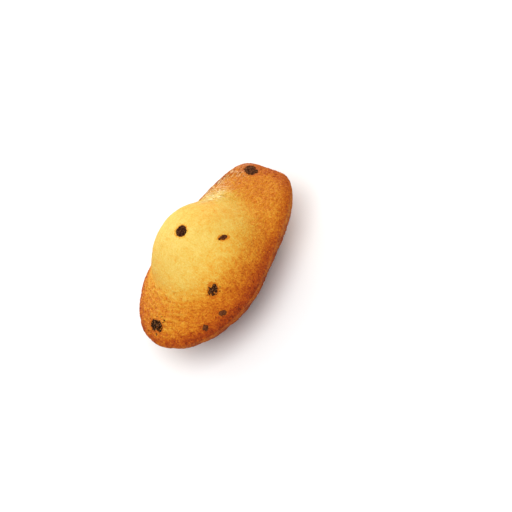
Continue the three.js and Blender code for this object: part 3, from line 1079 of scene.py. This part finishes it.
def crust_browning(at):
    """How brown each place is, with its grain and mottling and the halos round the chips, and painted light
    and shade on the wrinkles and folds and painted shade in the pores.
    """
    brown = blend(shell_browning(at), face_browning(at), at.face)
    # Painted light and shade: paler on the crests of the wrinkles and folds, browner in their troughs
    brown = brown + at.wrinkles * WRINKLE_BROWNING + at.crinkles * FOLD_BROWNING
    grain = at.fine * FINE_BROWNING + at.coarse * COARSE_BROWNING + at.pebble * PEBBLE_BROWNING
    brown = brown + grain * at.shares["grain"] * blend(1.0, GLAZED_GRAIN, at.glaze)
    brown = brown + at.mottle * at.shares["mottle"] + at.clouds * at.shares["clouds"]
    # Painted shade in the pores
    brown = brown + at.pore * PORE_BROWNING + at.glaze * comes_in(at.reach, *GLAZE_BROWNING)
    halo = smooth(at.chip + (at.mottle + at.coarse) * HALO_RAGGEDNESS, *HALO_EDGE)
    return brown + HALO_BROWNING * halo * smooth(brown, *HALOED_BROWNING)


def crust_colour(at):
    """The baked colour, with pale flecks off the hump, partly painted glints on the grains' tops, and
    painted sheen on the folds' ridges.
    """
    brown = crust_browning(at)
    colour = colour_ramp(clamp01(brown), BAKED_COLOURS)
    # Partly pale crumbs, partly painted glints on the tops of the grains and pebbles
    flecks = smooth(at.fine + at.pebble * FLECK_PEBBLES, *FLECK_GRAIN) * at.off_hump
    flecks = flecks * smooth(brown, *FLECKED_BROWNING)
    # Painted sheen: pale streaks on the folds' ridges stand in for highlights
    ridges = smooth(at.folds, *RIDGE_EDGE) * at.folded
    colour = mix_colour(flecks * FLECK_SHARE, colour, PALE_FLECK)
    return mix_colour(ridges * RIDGE_SHARE, colour, PALE_RIDGE)


def make_crust(grain_group):
    material, tree, shader = new_material("Baked crust")
    at = crust_values(tree, grain_group)
    feed_all(shader, {
        "Base Color": crust_colour(at),
        "Coat Weight": at.glaze * GLAZE_COAT,
        "Roughness": blend(*ROUGHNESS_BY_GLAZE, at.glaze) + ROUGHNESS_GRAIN * at.fine,
        **CRUST_SURFACE,
    })
    grain = at.coarse_height * (1 - WRINKLED_BUMP * at.wrinkled) + at.fine_height
    add_bump(tree, shader, grain * at.shares["bump"] + at.wrinkles * WRINKLE_BUMP + at.crinkles)
    return material


WHOLE_CHOCOLATE = [(0.0, (0.012, 0.003, 0.002)), (0.5, (0.050, 0.012, 0.006)), (0.95, (0.16, 0.05, 0.02))]
BURNT_CHOCOLATE = [(0.0, (0.006, 0.002, 0.001)), (0.5, (0.022, 0.008, 0.004)),
                   (0.95, (0.12, 0.045, 0.015))]
SHADE, SHADE_COARSE, SHADE_FINE = 0.5, 0.5, 0.9
PALE_CRUMB = (0.40, 0.19, 0.07, 1)
CRUMB_SHARE, CRUMB_COARSE, CRUMB_EDGE = 0.8, 0.5, (0.05, 0.35)
CRUMBED = (0.2, 1.0)
VEILED_CHOCOLATE = (0.19, 0.056, 0.02, 1)
VEIL_COARSE = 1.2
CHOCOLATE_ROUGHNESS, CHOCOLATE_ROUGHNESS_GRAIN = 0.6, 0.15
CHOCOLATE_SURFACE = {"Specular IOR Level": 0.05, "Specular Tint": (1.0, 0.5, 0.3, 1)}


def make_chocolate(grain_group):
    """Dark chocolate, with pale crumbs where it is crumbled, and browner where the batter veils it."""
    material, tree, shader = new_material("Baked chocolate")
    place = object_place(tree)
    coarse, coarse_height = baked_grain(grain_group, place, size=0.9, depth=0.15)
    fine, fine_height = baked_grain(grain_group, place, size=0.5, depth=0.2)
    shade = clamp01(SHADE + coarse * SHADE_COARSE + fine * SHADE_FINE)
    crumbled = attribute(tree, "crumbled")
    colour = mix_colour(crumbled, colour_ramp(shade, WHOLE_CHOCOLATE), colour_ramp(shade, BURNT_CHOCOLATE))
    crumbs = smooth(fine + coarse * CRUMB_COARSE, *CRUMB_EDGE) * smooth(crumbled, *CRUMBED)
    colour = mix_colour(crumbs * CRUMB_SHARE, colour, PALE_CRUMB)
    veiled = clamp01(attribute(tree, "veil") * (1.0 + coarse * VEIL_COARSE + fine))
    feed_all(shader, {
        "Base Color": mix_colour(veiled, colour, VEILED_CHOCOLATE),
        "Roughness": CHOCOLATE_ROUGHNESS + CHOCOLATE_ROUGHNESS_GRAIN * fine,
        **CHOCOLATE_SURFACE,
    })
    add_bump(tree, shader, coarse_height + fine_height)
    return material


FLOOR_WIDTH_M = 3.0


def make_floor():
    """A pale floor, kept out of reflections, because it would lay a milky veil over the crust."""
    half = FLOOR_WIDTH_M / 2
    corners = [(-half, -half, 0), (half, -half, 0), (half, half, 0), (-half, half, 0)]
    mesh = bpy.data.meshes.new("floor")
    mesh.from_pydata(corners, [], [(0, 1, 2, 3)])
    floor = make_object("floor", mesh)
    material, _, shader = new_material("Pale floor")
    feed_all(shader, {"Base Color": (0.9, 0.9, 0.9, 1), "Roughness": 0.9})
    mesh.materials.append(material)
    floor.visible_glossy = False


# ------------ camera and light

VIEW_AZIMUTH = -22.65 * DEGREE  # from +X towards +Y, as seen from above
VIEW_ELEVATION = 50.67 * DEGREE
VIEW_ROLL = -40.25 * DEGREE
VIEW_DISTANCE = 0.5
VIEW_SCALE = 2755.0  # pixels to a metre at that distance
FRAME_PIXELS = 512
SENSOR_WIDTH = 36.0
RIM_MIDDLE_PIXEL = (215.0, 255.0)  # where the middle of the rim's plane lies in the frame


def view_axes():
    """Unit vectors towards the camera, to its right and up its picture."""
    back = Vector((math.cos(VIEW_ELEVATION) * math.cos(VIEW_AZIMUTH),
                   math.cos(VIEW_ELEVATION) * math.sin(VIEW_AZIMUTH), math.sin(VIEW_ELEVATION)))
    level = Vector((0, 0, 1)).cross(back).normalized()
    turn = Matrix.Rotation(VIEW_ROLL, 3, back)
    right = turn @ level
    return back, right, back.cross(right)


def make_camera():
    back, right, up = view_axes()
    rim_middle = Vector((-MIDDLE_X, -MIDDLE_Y, RIM_HEIGHT)) * MM
    place = rim_middle + back * VIEW_DISTANCE
    aside = (FRAME_PIXELS / 2 - RIM_MIDDLE_PIXEL[0]) / VIEW_SCALE
    above = (RIM_MIDDLE_PIXEL[1] - FRAME_PIXELS / 2) / VIEW_SCALE
    towards = (place - (rim_middle + right * aside + up * above)).normalized()
    data = bpy.data.cameras.new("camera")
    data.sensor_width = SENSOR_WIDTH
    data.lens = data.sensor_width * VIEW_SCALE * VIEW_DISTANCE / FRAME_PIXELS
    camera = make_object("camera", data)
    side = up.cross(towards).normalized()
    camera.matrix_world = Matrix.Translation(place) @ Matrix(
        (side, towards.cross(side), towards)).transposed().to_4x4()
    bpy.context.scene.camera = camera


WARM = (1.0, 0.86, 0.6)
WHITE = (1.0, 1.0, 1.0)

# Lights: direction as shares of the camera's up, right and back, then distance and width in metres,
# power, colour, and whether reflections show it
LIGHTS = {
    "key": ((0.85, -0.25, -0.43), 0.6, 0.22, 1.5, WARM, True),
    "rim": ((0.5, -0.75, -0.4), 0.6, 0.2, 0.9, WHITE, True),
    "front": ((0.25, -0.36, 0.9), 0.8, 0.7, 4.2, WHITE, False),
}
STUDIO_STRENGTH = 0.7


def make_lights():
    """Square soft lights that face the cake."""
    back, right, up = view_axes()
    for name, ((upwards, sideways, backwards), distance_m, width_m, power, colour, glossy) in LIGHTS.items():
        direction = up * upwards + right * sideways + back * backwards
        data = bpy.data.lights.new(name, "AREA")
        data.size, data.energy, data.color = width_m, power, colour
        light = make_object(name, data)
        light.location = direction.normalized() * distance_m
        light.rotation_euler = direction.to_track_quat("Z", "Y").to_euler()
        light.visible_glossy = glossy


def make_world():
    """Even white light from all round, kept out of reflections like the floor."""
    world = bpy.data.worlds.new("studio")
    world.use_nodes = True
    background = world.node_tree.nodes["Background"]
    feed_all(background, {"Color": (1, 1, 1, 1), "Strength": STUDIO_STRENGTH})
    world.cycles_visibility.glossy = False
    bpy.context.scene.world = world
    bpy.context.scene.view_settings.view_transform = "Standard"


# ------------ the scene

def make_madeleine():
    """The crust, and the chips laid on it."""
    grain_group = build_grain_group()
    own_points = make_object("chip_places", make_chip_points(Vector((0, 0, 0))))
    cake = grown("crust", bpy.data.meshes.new("empty"), build_cake_tree(),
                 {"Chips": own_points, "Crust": make_crust(grain_group), **CAKE_SIZES})
    bpy.data.objects.remove(own_points)
    points = make_chip_points(Vector((-MIDDLE_X, -MIDDLE_Y, RIM_HEIGHT)))
    chips = grown("chocolate_chips", points, build_chip_tree(),
                  {"Crust mesh": cake, "Chocolate": make_chocolate(grain_group), **CHIP_SIZES})
    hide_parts("cake")
    for piece in (cake, chips):
        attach(piece, "root")


make_camera()
make_lights()
make_world()
make_floor()
make_madeleine()
